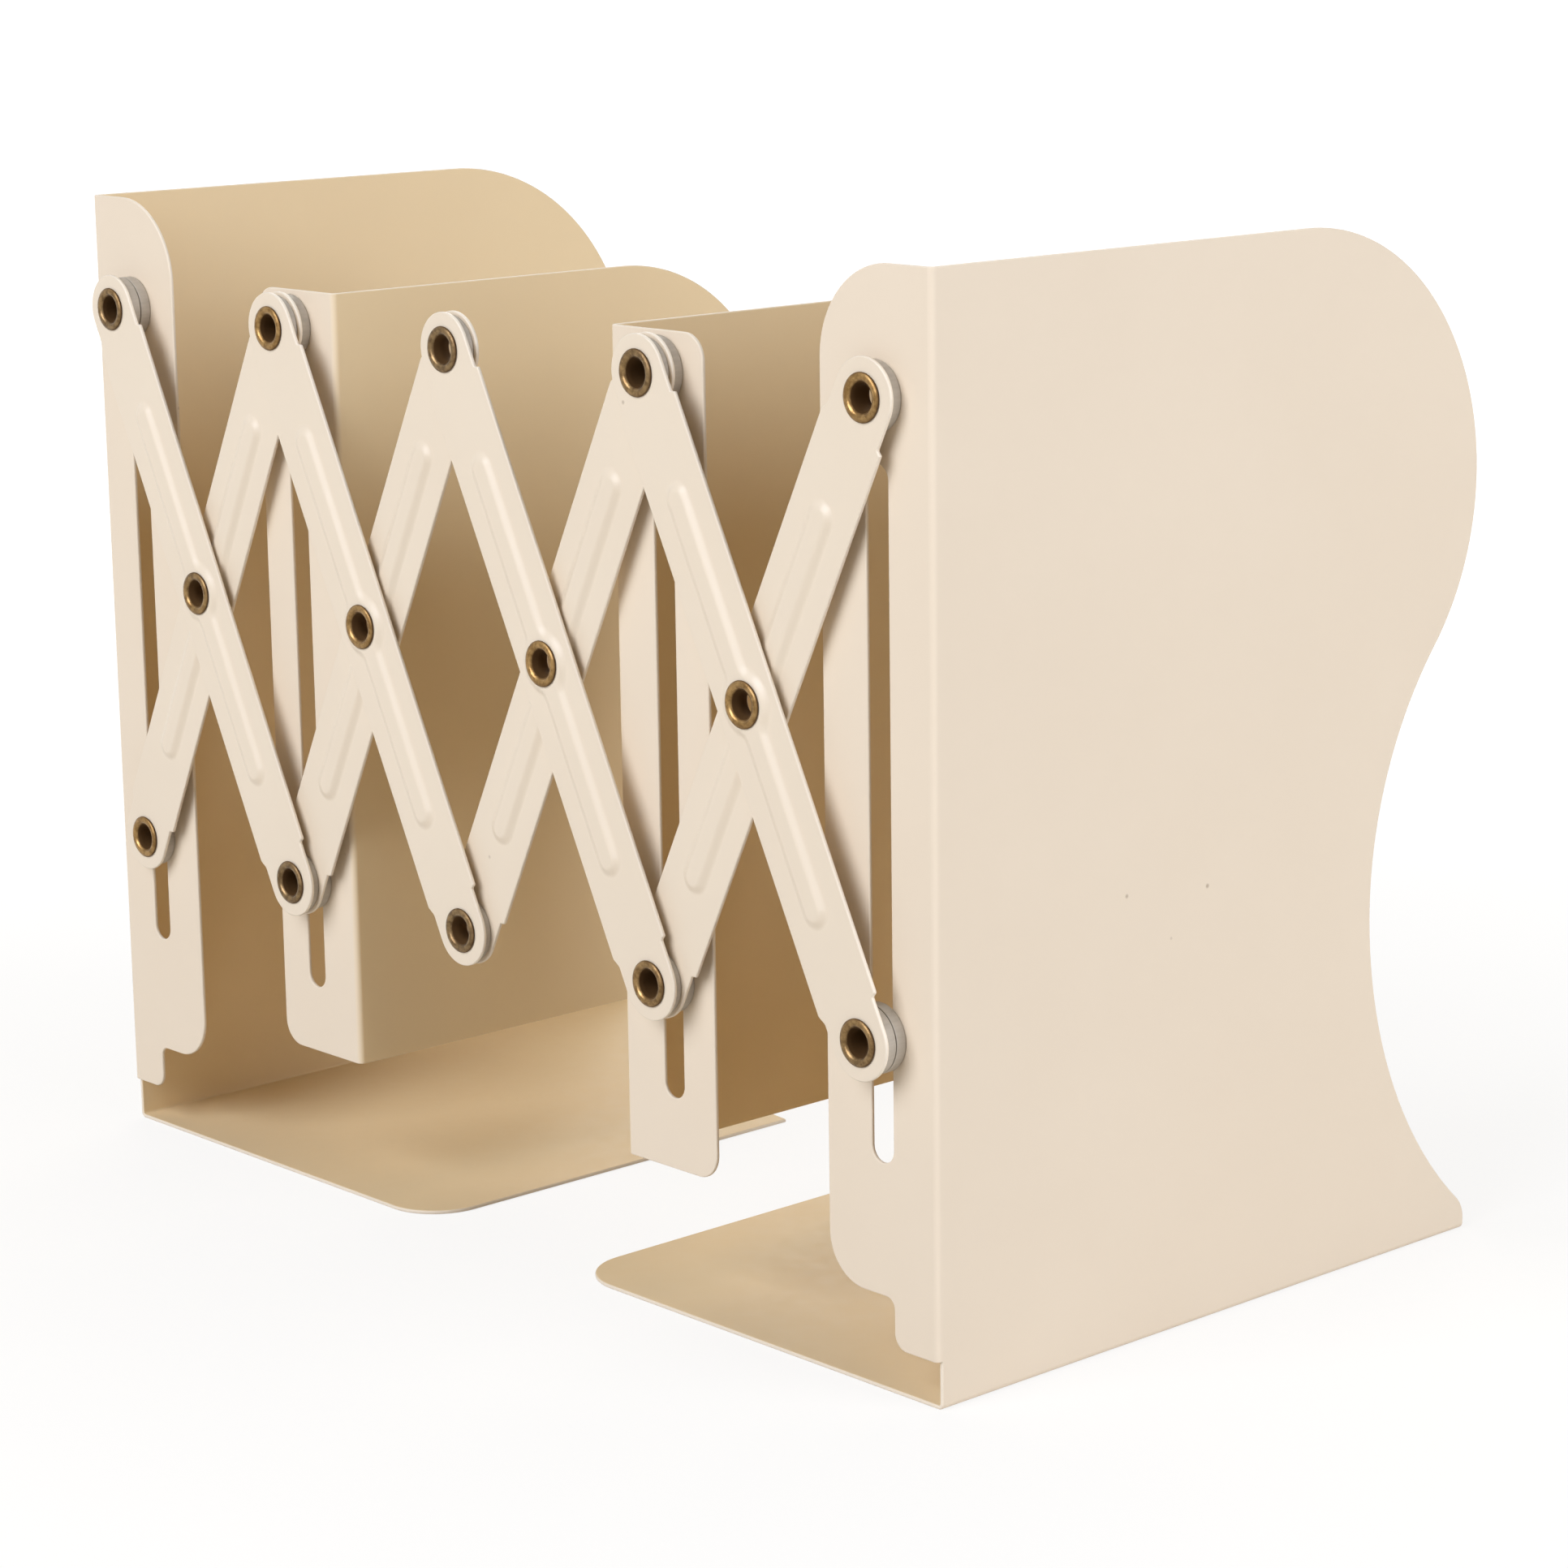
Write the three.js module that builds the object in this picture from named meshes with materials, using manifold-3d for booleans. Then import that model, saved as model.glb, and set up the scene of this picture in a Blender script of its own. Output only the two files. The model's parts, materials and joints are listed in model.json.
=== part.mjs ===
// Expandable bookend: two bent sheet steel end plates and two dividers, carried by a lattice of
// eight stamped bars that turn on hollow brass eyelets with plastic washers between the layers.
// Millimetres, +Z up, X along the row of books, the lattice at the front (-Y). The origin is
// the middle of the stand's footprint, on the surface that it stands on.
import * as THREE from "three";
import { mergeVertices } from "three/addons/utils/BufferGeometryUtils.js";
import Module from "manifold-3d";

const wasm = await Module();
wasm.setup();

// Driving sizes of the stand
const standWidth = 249.8;
const plateDepth = 145;
const barPivotLength = 125;
const closingTravel = 11;
const topPivotDrop = 22.4;
const bottomPivotRise = 65.7;
const cellCount = 4;
const dividerColumns = [1, cellCount - 1];

// Sheet metal
const plateSheet = 0.8;
const barSheet = 0.8;
const bendRadius = 0.4;
const bendLap = 3;

// Clearances
const fitGap = 0.1;
const turnClearance = 0.15;
const baseMeetingGap = 0.6;
const cutOverrun = 1;
const chordError = 0.05;

// End plate: front flange
const foldToPivot = 13.5;
const pivotToFreeEdge = 14;
const flangeTopRadius = 17;
const flangeFootRadius = 9;
const tabHeight = 9;
const tabDrop = 9.2;
const tabWidth = 10.9;
const tabOuterRadius = 3;
const tabInnerRadius = 2;
const slotBelowPivot = 23;
const slotTopDrop = 11.6;

// End plate: side panel with its wavy back edge, whose rises start at the fold
const plateCurve = {
  lobeRadius: 49.5,
  lobeInset: 0.6,
  waistRise: 68.8,
  waistInset: 30,
  tailRise: 1,
  tailRadius: 6,
};

// End plate: base tongue bent inward along the whole bottom, less deep at its inner end
const baseEndDepth = 98;
const baseBackRadius = 170;
const baseFrontRadius = 11.7;
const baseHoleRadius = 2.2;
const baseHoleInset = 7.5;
const baseHoleFromBack = 19;

// Divider
const dividerDepth = 116.6;
const dividerFoldToPivot = 13.8;
const dividerPivotToFreeEdge = 11.5;
const dividerAbovePivot = 7.2;
const dividerBelowSlot = 13.7;
const dividerCornerRadius = 5;
const dividerCurve = {
  lobeRadius: 42,
  lobeInset: 0.5,
  waistRise: 48,
  waistInset: 20,
  tailRise: 2.5,
  tailRadius: 5,
};

// Lattice bar
const barHalfWidth = 8;
const barShoulder = 1;
const notchFromPivot = 6.3;
const notchRun = 0.5;
const sweepFromPivot = 5.2;
const sweepRun = 1.6;
const sweepRadius = 1.6;
const ridgeEndInset = 20.5;
const ridgeHalfWidth = 3;
const ridgePadRadius = 6;
const ridgeSlope = 0.8;
const ridgeHeight = 0.8;

// Layers between the flanges and the bars
const rearLayer = 2.4;
const middleLayer = 1.6;

// Eyelet
const barrelRadius = 2.55;
const barrelWall = 0.3;
const headOverhang = 1.8;
const headHeight = 0.55;
const flareOverhang = 1.35;
const flareHeight = 0.6;
const roundSides = 16;

// Washer
const washerInset = 0.7;

// Outlines of the rolled head and flare, as shares: across from the bore, and up from the seat
const headShares = [[0, -1], [0.2, 0.6], [0.52, 1], [0.86, 0.7], [1, 0]];
const flareShares = [[1, 0], [0.8, 0.8], [0.3, 1], [0, 0]];

// Sizes that follow from the driving ones
const pivotPitch = (standWidth - 2 * foldToPivot) / cellCount;
const closedWidth = standWidth - cellCount * closingTravel;
const baseWidth = (closedWidth - baseMeetingGap) / 2;
const flangeWidth = foldToPivot + pivotToFreeEdge;
const dividerFlangeWidth = dividerFoldToPivot + dividerPivotToFreeEdge;
const bendOuter = bendRadius + plateSheet;
const barLean = Math.asin(pivotPitch / barPivotLength);
const bottomPivotZ = bottomPivotRise;
const topPivotZ = bottomPivotZ + barPivotLength * Math.cos(barLean);
const middlePivotZ = (topPivotZ + bottomPivotZ) / 2;
const standHeight = topPivotZ + topPivotDrop;
const slotTopZ = topPivotZ - slotTopDrop;
const slotBottomZ = bottomPivotZ - slotBelowPivot;
const dividerTopZ = topPivotZ + dividerAbovePivot;
const dividerBottomZ = slotBottomZ - dividerBelowSlot;
const pivotHoleRadius = barrelRadius + turnClearance;
const barEndRadius = barHalfWidth - barShoulder;
const washerRadius = barEndRadius - washerInset;

// Front faces of the layers, from the flanges' front face at 0 towards the viewer
const backBarFace = -(rearLayer + barSheet);
const frontBarFace = backBarFace - middleLayer - barSheet;
const stackFront = frontBarFace - ridgeHeight - fitGap - headHeight;

// Finishes
const creamSteel = { color: 0xe6d8c3, roughness: 0.55, metalness: 0 };
const barSteel = { color: 0xebdfcf, roughness: 0.5, metalness: 0 };
const agedBrass = { color: 0x9c7840, roughness: 0.35, metalness: 0.9 };
const greyPlastic = { color: 0x9a9080, roughness: 0.6, metalness: 0 };

// Ways to lay an outline: in plan, facing forward, or facing sideways. The third axis is
// the one that its thickness grows along.
const inPlan = new THREE.Matrix4();
const facingFront = new THREE.Matrix4().makeBasis(
  new THREE.Vector3(1, 0, 0),
  new THREE.Vector3(0, 0, 1),
  new THREE.Vector3(0, -1, 0),
);
const facingSide = new THREE.Matrix4().makeBasis(
  new THREE.Vector3(0, 1, 0),
  new THREE.Vector3(0, 0, 1),
  new THREE.Vector3(1, 0, 0),
);

// Points along an arc, close enough to the true curve for its radius
function arcPoints(centreA, centreB, radius, start, end) {
  const step = 2 * Math.acos(1 - chordError / radius);
  const count = Math.max(2, Math.ceil(Math.abs(end - start) / step));
  const clockwise = end < start;
  const curve = new THREE.EllipseCurve(centreA, centreB, radius, radius, start, end, clockwise);
  return curve.getPoints(count);
}

// A closed outline from corners [a, b, radius], each corner with a radius rounded off
function roundedOutline(corners) {
  const points = [];
  corners.forEach(([a, b, radius], index) => {
    const corner = new THREE.Vector2(a, b);
    if (!radius) {
      points.push(corner);
      return;
    }
    const [beforeA, beforeB] = corners[(index + corners.length - 1) % corners.length];
    const [afterA, afterB] = corners[(index + 1) % corners.length];
    const toBefore = new THREE.Vector2(beforeA, beforeB).sub(corner).normalize();
    const toAfter = new THREE.Vector2(afterA, afterB).sub(corner).normalize();
    const halfAngle = Math.acos(toBefore.dot(toAfter)) / 2;
    const bisector = toBefore.clone().add(toAfter).normalize();
    const centre = corner.clone().addScaledVector(bisector, radius / Math.sin(halfAngle));
    const reach = radius / Math.tan(halfAngle);
    const from = corner.clone().addScaledVector(toBefore, reach).sub(centre);
    const to = corner.clone().addScaledVector(toAfter, reach).sub(centre);
    const start = from.angle();
    const turn = Math.atan2(from.cross(to), from.dot(to));
    points.push(...arcPoints(centre.x, centre.y, radius, start, start + turn));
  });
  return points;
}

function circlePath(centreA, centreB, radius) {
  const points = arcPoints(centreA, centreB, radius, 0, 2 * Math.PI);
  points.pop();
  return new THREE.Path(points);
}

// A slot with round ends, upright on the line a = centreA
function slotPath(centreA, bottom, top, halfWidth) {
  const upper = arcPoints(centreA, top - halfWidth, halfWidth, 0, Math.PI);
  const lower = arcPoints(centreA, bottom + halfWidth, halfWidth, Math.PI, 2 * Math.PI);
  return new THREE.Path([...upper, ...lower]);
}

// Section of a sheet bent square at the origin, with arms along both axes
function cornerSection(armA, armB) {
  const outer = arcPoints(bendOuter, bendOuter, bendOuter, 1.5 * Math.PI, Math.PI);
  const inner = arcPoints(bendOuter, bendOuter, bendRadius, Math.PI, 1.5 * Math.PI);
  return new THREE.Shape([
    new THREE.Vector2(armA, 0),
    ...outer,
    new THREE.Vector2(0, armB),
    new THREE.Vector2(plateSheet, armB),
    ...inner,
    new THREE.Vector2(armA, plateSheet),
  ]);
}

// The back edge of a panel from its top to its bottom: a round lobe, a hollow waist whose
// arcs are tangent to the lobe and to the tail, and the tail's rounded corner
function wavyBackEdge(depth, bottom, top, curve) {
  const { lobeRadius, lobeInset, waistRise, waistInset, tailRise, tailRadius } = curve;
  const lobe = new THREE.Vector2(depth - lobeInset - lobeRadius, top - lobeRadius);
  const tail = new THREE.Vector2(depth - tailRadius, bottom + tailRise);
  const waistZ = bottom + waistRise;
  const waistY = depth - waistInset;
  const lobeAcross = waistY - lobe.x;
  const lobeAbove = lobe.y - waistZ;
  const lobeSquares = lobeAcross ** 2 + lobeAbove ** 2 - lobeRadius ** 2;
  const upperRadius = lobeSquares / (2 * (lobeRadius - lobeAcross));
  const tailBelow = waistRise - tailRise;
  const lowerRadius = (tailBelow ** 2 + waistInset ** 2) / (2 * waistInset) - tailRadius;
  const upper = new THREE.Vector2(waistY + upperRadius, waistZ);
  const lower = new THREE.Vector2(waistY + lowerRadius, waistZ);
  const lobeEnd = Math.atan2(upper.y - lobe.y, upper.x - lobe.x);
  const tailStart = Math.atan2(lower.y - tail.y, lower.x - tail.x);
  return [
    ...arcPoints(lobe.x, lobe.y, lobeRadius, Math.PI / 2, lobeEnd),
    ...arcPoints(upper.x, upper.y, upperRadius, lobeEnd + Math.PI, Math.PI).slice(1),
    ...arcPoints(lower.x, lower.y, lowerRadius, Math.PI, tailStart + Math.PI).slice(1),
    ...arcPoints(tail.x, tail.y, tailRadius, tailStart, 0).slice(1),
    new THREE.Vector2(depth, bottom),
  ];
}

// A closed geometry whose shared corners are merged
function merged(geometry) {
  geometry.deleteAttribute("normal");
  geometry.deleteAttribute("uv");
  return mergeVertices(geometry);
}

function solidFrom(geometry) {
  const closed = merged(geometry);
  return new wasm.Manifold(new wasm.Mesh({
    numProp: 3,
    vertProperties: new Float32Array(closed.attributes.position.array),
    triVerts: new Uint32Array(closed.index.array),
  }));
}

// An outline with thickness, laid one of the three ways, its start moved along X, Y and Z
function extruded(shape, thickness, lay, x, y, z, bevel = {}) {
  const settings = { depth: thickness, bevelEnabled: false, ...bevel };
  const geometry = new THREE.ExtrudeGeometry(shape, settings);
  geometry.applyMatrix4(lay);
  geometry.translate(x, y, z);
  return solidFrom(geometry);
}

function geometryFrom(solid) {
  const mesh = solid.getMesh();
  const geometry = new THREE.BufferGeometry();
  geometry.setAttribute("position", new THREE.BufferAttribute(mesh.vertProperties, 3));
  geometry.setIndex(new THREE.BufferAttribute(mesh.triVerts, 1));
  return geometry;
}

// The same piece for the other hand
function mirrored(geometry) {
  geometry.scale(-1, 1, 1);
  const corners = geometry.index.array;
  for (let first = 0; first < corners.length; first += 3) {
    [corners[first], corners[first + 1]] = [corners[first + 1], corners[first]];
  }
  return geometry;
}

// A front flange folded off a panel, its slot and its top pivot hole on the pivots' line
function foldedFlange(corners, width, bottom, top, pivotLine) {
  const face = new THREE.Shape(roundedOutline(corners));
  face.holes.push(slotPath(pivotLine, slotBottomZ, slotTopZ, pivotHoleRadius));
  face.holes.push(circlePath(pivotLine, topPivotZ, pivotHoleRadius));
  const armB = bendOuter + bendLap;
  const sheet = extruded(cornerSection(width, armB), top - bottom, inPlan, 0, 0, bottom);
  const maskThickness = armB + 2 * cutOverrun;
  return sheet.intersect(extruded(face, maskThickness, facingFront, 0, armB + cutOverrun, 0));
}

// The base tongue's back edge in plan, from the fold to the inner end: a long hollow arc
function tongueBackEdge() {
  const foldEnd = new THREE.Vector2(bendOuter, plateDepth);
  const innerEnd = new THREE.Vector2(baseWidth, baseEndDepth);
  const chord = innerEnd.clone().sub(foldEnd);
  const rise = Math.sqrt(baseBackRadius ** 2 - chord.lengthSq() / 4);
  const away = new THREE.Vector2(-chord.y, chord.x).setLength(rise);
  const centre = foldEnd.clone().add(innerEnd).divideScalar(2).add(away);
  const start = foldEnd.clone().sub(centre).angle();
  const end = innerEnd.clone().sub(centre).angle();
  return arcPoints(centre.x, centre.y, baseBackRadius, start, end);
}

// End plate for the left end: panel at x = 0, flange and base towards +X
function endPlate() {
  const footZ = tabHeight + tabDrop;
  const flange = foldedFlange([
    [-cutOverrun, tabHeight, 0],
    [tabWidth, tabHeight, tabOuterRadius],
    [tabWidth, footZ, tabInnerRadius],
    [flangeWidth, footZ, flangeFootRadius],
    [flangeWidth, standHeight, flangeTopRadius],
    [-cutOverrun, standHeight, 0],
  ], flangeWidth, tabHeight, standHeight, foldToPivot);

  const panel = extruded(new THREE.Shape([
    new THREE.Vector2(bendOuter, bendOuter),
    new THREE.Vector2(bendOuter, standHeight),
    ...wavyBackEdge(plateDepth, bendOuter, standHeight, plateCurve),
  ]), plateSheet, facingSide, 0, 0, 0);

  const armUp = bendOuter + plateCurve.tailRise;
  const tongue = new THREE.Shape(roundedOutline([
    [-cutOverrun, plateDepth + cutOverrun, 0],
    [bendOuter, plateDepth + cutOverrun, 0],
    ...tongueBackEdge().map((point) => [point.x, point.y, 0]),
    [baseWidth, bendOuter, baseFrontRadius],
    [-cutOverrun, bendOuter, 0],
  ]));
  const holeX = baseWidth - baseHoleInset;
  tongue.holes.push(circlePath(holeX, baseEndDepth - baseHoleFromBack, baseHoleRadius));
  const tongueLength = plateDepth - bendOuter;
  const tongueSection = cornerSection(baseWidth, armUp);
  const base = extruded(tongueSection, tongueLength, facingFront, 0, plateDepth, 0).intersect(
    extruded(tongue, armUp + 2 * cutOverrun, inPlan, 0, 0, -cutOverrun),
  );
  return geometryFrom(panel.add(flange).add(base));
}

// Divider with its panel at x = 0 and its flange towards +X
function divider() {
  const flange = foldedFlange([
    [-cutOverrun, dividerBottomZ, 0],
    [dividerFlangeWidth, dividerBottomZ, dividerCornerRadius],
    [dividerFlangeWidth, dividerTopZ, dividerCornerRadius],
    [-cutOverrun, dividerTopZ, 0],
  ], dividerFlangeWidth, dividerBottomZ, dividerTopZ, dividerFoldToPivot);

  const panel = extruded(new THREE.Shape([
    new THREE.Vector2(bendOuter, dividerBottomZ),
    new THREE.Vector2(bendOuter, dividerTopZ),
    ...wavyBackEdge(dividerDepth, dividerBottomZ, dividerTopZ, dividerCurve),
  ]), plateSheet, facingSide, 0, 0, 0);
  return geometryFrom(panel.add(flange));
}

// One side's edge steps at a bar end, from the pivot inwards: a sharp notch on the right and
// a soft sweep on the left
function barOutline() {
  const half = barPivotLength / 2;
  const tip = half + barEndRadius;
  const notchNear = half - notchFromPivot;
  const notchFar = notchNear - notchRun;
  const sweepNear = half - sweepFromPivot;
  const sweepFar = sweepNear - sweepRun;
  return roundedOutline([
    [barEndRadius, -tip, barEndRadius],
    [barEndRadius, -notchNear, 0],
    [barHalfWidth, -notchFar, 0],
    [barHalfWidth, notchFar, 0],
    [barEndRadius, notchNear, 0],
    [barEndRadius, tip, barEndRadius],
    [-barEndRadius, tip, barEndRadius],
    [-barEndRadius, sweepNear, sweepRadius],
    [-barHalfWidth, sweepFar, sweepRadius],
    [-barHalfWidth, -sweepFar, sweepRadius],
    [-barEndRadius, -sweepNear, sweepRadius],
    [-barEndRadius, -tip, barEndRadius],
  ]);
}

// The top outline of the pressed ridge, with its round pad at the middle pivot
function ridgeOutline() {
  const halfWidth = ridgeHalfWidth - ridgeSlope;
  const padRadius = ridgePadRadius - ridgeSlope;
  const end = barPivotLength / 2 - ridgeEndInset - ridgeHalfWidth;
  const padStart = Math.acos(halfWidth / padRadius);
  return [
    ...arcPoints(0, end, halfWidth, 0, Math.PI),
    ...arcPoints(0, 0, padRadius, Math.PI - padStart, Math.PI + padStart),
    ...arcPoints(0, -end, halfWidth, Math.PI, 2 * Math.PI),
    ...arcPoints(0, 0, padRadius, -padStart, padStart),
  ];
}

// Bar with its middle pivot at the origin, its length along Z and its front face at y = 0
function latticeBar() {
  const outline = new THREE.Shape(barOutline());
  const half = barPivotLength / 2;
  for (const pivot of [-half, half]) {
    outline.holes.push(circlePath(0, pivot, pivotHoleRadius));
  }
  const sheet = extruded(outline, barSheet, facingFront, 0, barSheet, 0);
  const bevel = {
    bevelEnabled: true,
    bevelThickness: ridgeHeight,
    bevelSize: ridgeSlope,
    bevelSegments: 1,
  };
  const sunk = barSheet / 2;
  const ridgeShape = new THREE.Shape(ridgeOutline());
  // The same form, one sheet further back, presses the hollow into the rear face
  const ridge = extruded(ridgeShape, sunk, facingFront, 0, sunk, 0, bevel);
  const hollow = extruded(ridgeShape, sunk, facingFront, 0, sunk + barSheet, 0, bevel);
  const hole = new THREE.Shape(circlePath(0, 0, pivotHoleRadius).getPoints());
  const holeDepth = ridgeHeight + barSheet + 2 * cutOverrun;
  const middleHole = extruded(hole, holeDepth, facingFront, 0, barSheet + cutOverrun, 0);
  return geometryFrom(sheet.add(ridge).subtract(hollow).subtract(middleHole));
}

// Hollow eyelet along Y: its head seats at y = 0 and its flare turns over behind a stack
function eyelet(stackLength) {
  const bore = barrelRadius - barrelWall;
  const headRadius = barrelRadius + headOverhang;
  const flareRadius = barrelRadius + flareOverhang;
  const headSeat = -fitGap;
  const flareSeat = stackLength + fitGap;
  const profile = [];
  for (const [across, up] of headShares) {
    const radius = THREE.MathUtils.lerp(bore, headRadius, across);
    profile.push(new THREE.Vector2(radius, headSeat - up * headHeight));
  }
  profile.push(new THREE.Vector2(barrelRadius, headSeat));
  profile.push(new THREE.Vector2(barrelRadius, flareSeat));
  for (const [across, up] of flareShares) {
    const radius = THREE.MathUtils.lerp(bore, flareRadius, across);
    profile.push(new THREE.Vector2(radius, flareSeat + up * flareHeight));
  }
  profile.push(profile[0].clone());
  return merged(new THREE.LatheGeometry(profile, roundSides));
}

// Washer along Y from y = 0
function washer(thickness) {
  const bore = barrelRadius + turnClearance;
  const profile = [
    new THREE.Vector2(bore, 0),
    new THREE.Vector2(washerRadius, 0),
    new THREE.Vector2(washerRadius, thickness),
    new THREE.Vector2(bore, thickness),
    new THREE.Vector2(bore, 0),
  ];
  return merged(new THREE.LatheGeometry(profile, roundSides));
}

// The assembly, with the left fold at x = 0 and the flanges' front face at y = 0
const assembly = new THREE.Group();
assembly.position.set(-standWidth / 2, -(plateDepth + stackFront) / 2, 0);
const bookend = new THREE.Group();
bookend.add(assembly);

function place(name, geometry, finish, x, y, z, lean = 0) {
  const material = new THREE.MeshStandardMaterial({ ...finish, flatShading: true });
  const mesh = new THREE.Mesh(geometry, material);
  mesh.name = name;
  mesh.position.set(x, y, z);
  mesh.rotation.y = lean;
  assembly.add(mesh);
}

function pivotX(column) {
  return foldToPivot + column * pivotPitch;
}

// Sheet metal plates
function addPlates() {
  const [leftColumn, rightColumn] = dividerColumns;
  const leftDividerX = pivotX(leftColumn) + dividerFoldToPivot;
  const rightDividerX = pivotX(rightColumn) - dividerFoldToPivot;
  place("left_end_plate", endPlate(), creamSteel, 0, 0, 0);
  place("right_end_plate", mirrored(endPlate()), creamSteel, standWidth, 0, 0);
  place("divider_left", mirrored(divider()), creamSteel, leftDividerX, 0, 0);
  place("divider_right", divider(), creamSteel, rightDividerX, 0, 0);
}

// Bars: the front ones lean from top left to bottom right, the back ones the other way
function addBars() {
  for (let cell = 0; cell < cellCount; cell += 1) {
    const x = (pivotX(cell) + pivotX(cell + 1)) / 2;
    const number = cell + 1;
    place(`front_bar_${number}`, latticeBar(), barSteel, x, frontBarFace, middlePivotZ, -barLean);
    place(`back_bar_${number}`, latticeBar(), barSteel, x, backBarFace, middlePivotZ, barLean);
  }
}

// Washers and spacers fill the space between two faces, less a gap at each
function addWasher(name, x, front, rear, z) {
  const thickness = rear - front - 2 * fitGap;
  place(name, washer(thickness), greyPlastic, x, front + fitGap, z);
}

// Two stacked spacers where one bar stands alone in front of a flange
function addSpacers(name, x, z) {
  const front = frontBarFace + barSheet;
  const middle = front / 2;
  addWasher(`${name}_front`, x, front, middle, z);
  addWasher(`${name}_rear`, x, middle, 0, z);
}

// A row of end pivots: the bars and flange that each column has decide its stack
function addPivotRow(row, z, frontColumns, backColumns, flangeColumns) {
  for (let column = 0; column <= cellCount; column += 1) {
    const x = pivotX(column);
    const number = column + 1;
    const hasFront = frontColumns.includes(column);
    const hasBack = backColumns.includes(column);
    const hasFlange = flangeColumns.includes(column);
    const face = hasFront ? frontBarFace : backBarFace;
    const rear = hasFlange ? plateSheet : -rearLayer;
    place(`${row}_eyelet_${number}`, eyelet(rear - face), agedBrass, x, face, z);
    if (hasFront && hasBack) {
      const name = `${row}_bar_washer_${number}`;
      addWasher(name, x, frontBarFace + barSheet, backBarFace, z);
    }
    if (hasBack && hasFlange) {
      addWasher(`${row}_flange_washer_${number}`, x, -rearLayer, 0, z);
    }
    if (hasFront && !hasBack) {
      addSpacers(`${row}_spacer_${number}`, x, z);
    }
  }
}

// Middle pivots sit on the bars' raised pads, the flare in the hollow behind the rear pad
function addMiddlePivots() {
  const padFace = frontBarFace - ridgeHeight;
  const padRear = backBarFace + barSheet - ridgeHeight;
  for (let cell = 0; cell < cellCount; cell += 1) {
    const x = (pivotX(cell) + pivotX(cell + 1)) / 2;
    const number = cell + 1;
    const barrel = eyelet(padRear - padFace);
    place(`middle_eyelet_${number}`, barrel, agedBrass, x, padFace, middlePivotZ);
    const washerRear = backBarFace - ridgeHeight;
    const washerFront = frontBarFace + barSheet;
    addWasher(`middle_bar_washer_${number}`, x, washerFront, washerRear, middlePivotZ);
  }
}

const columns = Array.from({ length: cellCount + 1 }, (unused, column) => column);
const firstColumns = columns.slice(0, -1);
const lastColumns = columns.slice(1);
const flangeColumns = [0, ...dividerColumns, cellCount];

addPlates();
addBars();
addPivotRow("top", topPivotZ, firstColumns, lastColumns, flangeColumns);
addPivotRow("bottom", bottomPivotZ, lastColumns, firstColumns, flangeColumns);
addMiddlePivots();

export default bookend;
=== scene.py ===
import json
import math

import bmesh
import bpy
from mathutils import Matrix, Vector
from mathutils.geometry import delaunay_2d_cdt

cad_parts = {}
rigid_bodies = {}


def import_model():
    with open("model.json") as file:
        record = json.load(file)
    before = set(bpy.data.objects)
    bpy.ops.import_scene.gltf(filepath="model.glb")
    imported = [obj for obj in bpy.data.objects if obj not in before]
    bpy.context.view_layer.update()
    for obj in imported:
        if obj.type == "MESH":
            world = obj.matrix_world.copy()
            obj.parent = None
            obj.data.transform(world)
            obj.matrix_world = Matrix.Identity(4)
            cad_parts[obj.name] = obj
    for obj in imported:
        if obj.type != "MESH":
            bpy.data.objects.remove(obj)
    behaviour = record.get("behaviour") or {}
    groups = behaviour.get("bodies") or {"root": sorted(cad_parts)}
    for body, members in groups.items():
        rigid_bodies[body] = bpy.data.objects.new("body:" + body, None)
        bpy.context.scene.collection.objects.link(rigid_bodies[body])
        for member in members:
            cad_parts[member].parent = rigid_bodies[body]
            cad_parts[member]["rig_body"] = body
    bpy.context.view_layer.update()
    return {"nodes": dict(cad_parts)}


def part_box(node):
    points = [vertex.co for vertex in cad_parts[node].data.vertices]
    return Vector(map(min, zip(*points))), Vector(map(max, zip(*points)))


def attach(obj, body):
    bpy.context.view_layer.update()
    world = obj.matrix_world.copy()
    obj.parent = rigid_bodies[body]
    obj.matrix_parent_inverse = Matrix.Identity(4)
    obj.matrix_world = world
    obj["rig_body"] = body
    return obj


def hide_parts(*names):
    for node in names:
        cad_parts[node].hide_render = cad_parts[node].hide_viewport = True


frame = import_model()

MM = 0.001
CELLS = 4

# Sheet metal
SHEET = 0.8
BEND_INNER = 0.4
BEND_STEPS = 8
PLATE_ROUNDING = 0.28
BAR_ROUNDING = 0.28
ROUNDING_STEPS = 3
ARC_SAG = 0.01
TOUCHING = 1e-6
FILL_EPSILON = 1e-7

# End plate
PIVOT_HOLE_RADIUS = 2.7
SLOT_BELOW_PIVOT = 23
SLOT_TOP_DROP = 11.6
FLANGE_WIDTH = 27.5
FLANGE_TOP_RADIUS = 17
FLANGE_FOOT_RADIUS = 9
TAB_HEIGHT = 9
TAB_DROP = 9.2
TAB_WIDTH = 10.9
TAB_OUTER_RADIUS = 3
TAB_INNER_RADIUS = 2
PLATE_CURVE = {
    "lobe_radius": 49.5, "lobe_inset": 0.6, "waist_rise": 68.8, "waist_inset": 30,
    "tail_rise": 1, "tail_radius": 6,
}
BASE_END_DEPTH = 98
BASE_BACK_RADIUS = 170
BASE_TAIL_RUN = 0.3
BASE_FRONT_RADIUS = 11.7
BASE_HOLE_RADIUS = 2.2
BASE_HOLE_INSET = 7.5
BASE_HOLE_FROM_BACK = 19

# Divider
DIVIDER_CORNER_RADIUS = 5
DIVIDER_CURVE = {
    "lobe_radius": 42, "lobe_inset": 0.5, "waist_rise": 48, "waist_inset": 20,
    "tail_rise": 2.5, "tail_radius": 5,
}

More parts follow.
